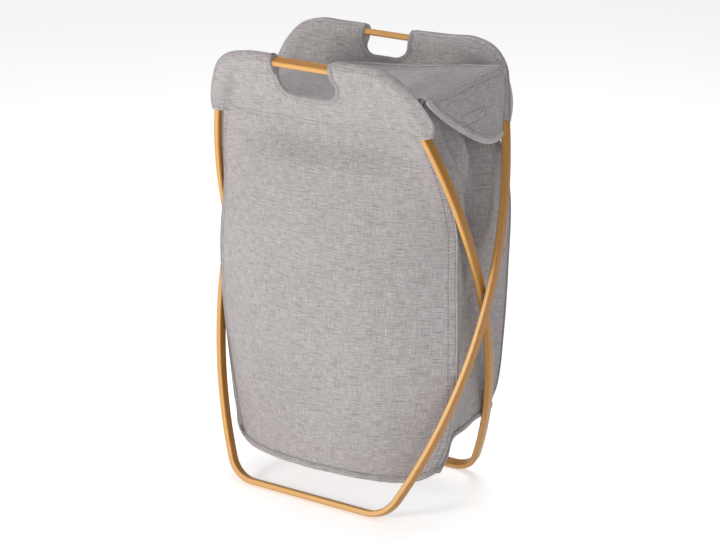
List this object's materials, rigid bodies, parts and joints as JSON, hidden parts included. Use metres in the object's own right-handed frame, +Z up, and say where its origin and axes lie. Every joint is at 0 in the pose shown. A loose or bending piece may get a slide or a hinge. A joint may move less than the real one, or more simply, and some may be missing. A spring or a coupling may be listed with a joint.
{
  "type": "laundry hamper",
  "caption": "Folding laundry hamper: a sewn cloth bag with a soft lid flap, hung between two crossed bent-bamboo loops with bare hand rails.",
  "frame": {"origin": "on the floor, below the middle of the hamper", "axes": "+Z up, -Y towards the front header, +X towards the side where the lid's tongue hangs"},
  "size_m": [0.4696, 0.2508, 0.6548],
  "materials": {
    "bamboo": "clear-lacquered bamboo strip, satin",
    "steel": "zinc-plated",
    "brass": "plain",
    "nylon": "natural nylon",
    "linen": "heathered grey plain weave",
    "lining": "the same grey cloth, inner side",
    "binding": "folded self-fabric binding, stitched",
    "hook_and_loop": "grey hook-and-loop tape"
  },
  "bodies": {
    "bag": {"front_panel": "linen", "rear_panel": "linen", "left_side_panel": "linen", "right_side_panel": "linen", "mouth_hem": "binding", "bottom_hem": "binding", "bottom_panel": "linen", "loop_patch": "hook_and_loop"},
    "outer_frame": {"outer_loop_lower": "bamboo", "outer_loop_upper": "bamboo", "pivot_screws": "steel", "pivot_washers": "nylon", "threaded_inserts": "brass", "rear_header_face": "linen", "rear_header_lining": "lining", "rear_handle_binding": "binding"},
    "inner_frame": {"inner_loop_lower": "bamboo", "inner_loop_upper": "bamboo", "front_header_face": "linen", "front_header_lining": "lining", "front_handle_binding": "binding"},
    "lid": {"lid_lining": "lining", "lid_panel": "linen", "lid_binding": "binding"},
    "tongue": {"tongue_lining": "lining", "tongue_panel": "linen", "tongue_binding": "binding", "hook_patch": "hook_and_loop"}
  },
  "joints": [
    {"name": "outer_fold", "type": "hinge", "parent": "bag", "child": "outer_frame", "pos_m": [0, 0, 0.32554], "axis": [1, 0, 0], "range_deg": [0, 15], "deforming": ["front_panel", "rear_panel", "left_side_panel", "right_side_panel", "mouth_hem", "bottom_hem", "bottom_panel", "loop_patch", "lid_lining", "lid_panel", "lid_binding", "tongue_lining", "tongue_panel", "tongue_binding", "hook_patch"]},
    {"name": "inner_fold", "type": "hinge", "parent": "bag", "child": "inner_frame", "pos_m": [0, 0, 0.32554], "axis": [1, 0, 0], "range_deg": [-15, 0]},
    {"name": "lid_hinge", "type": "hinge", "parent": "bag", "child": "lid", "pos_m": [-0.1725, 0, 0.588], "axis": [0, -1, 0], "range_deg": [0, 170]},
    {"name": "tongue_crease", "type": "hinge", "parent": "lid", "child": "tongue", "pos_m": [0.1867, 0, 0.618], "axis": [0, -1, 0], "range_deg": [0, 95]}
  ],
  "couplings": [
    {"joint": "inner_fold", "follows": "outer_fold", "ratio": -1}
  ]
}
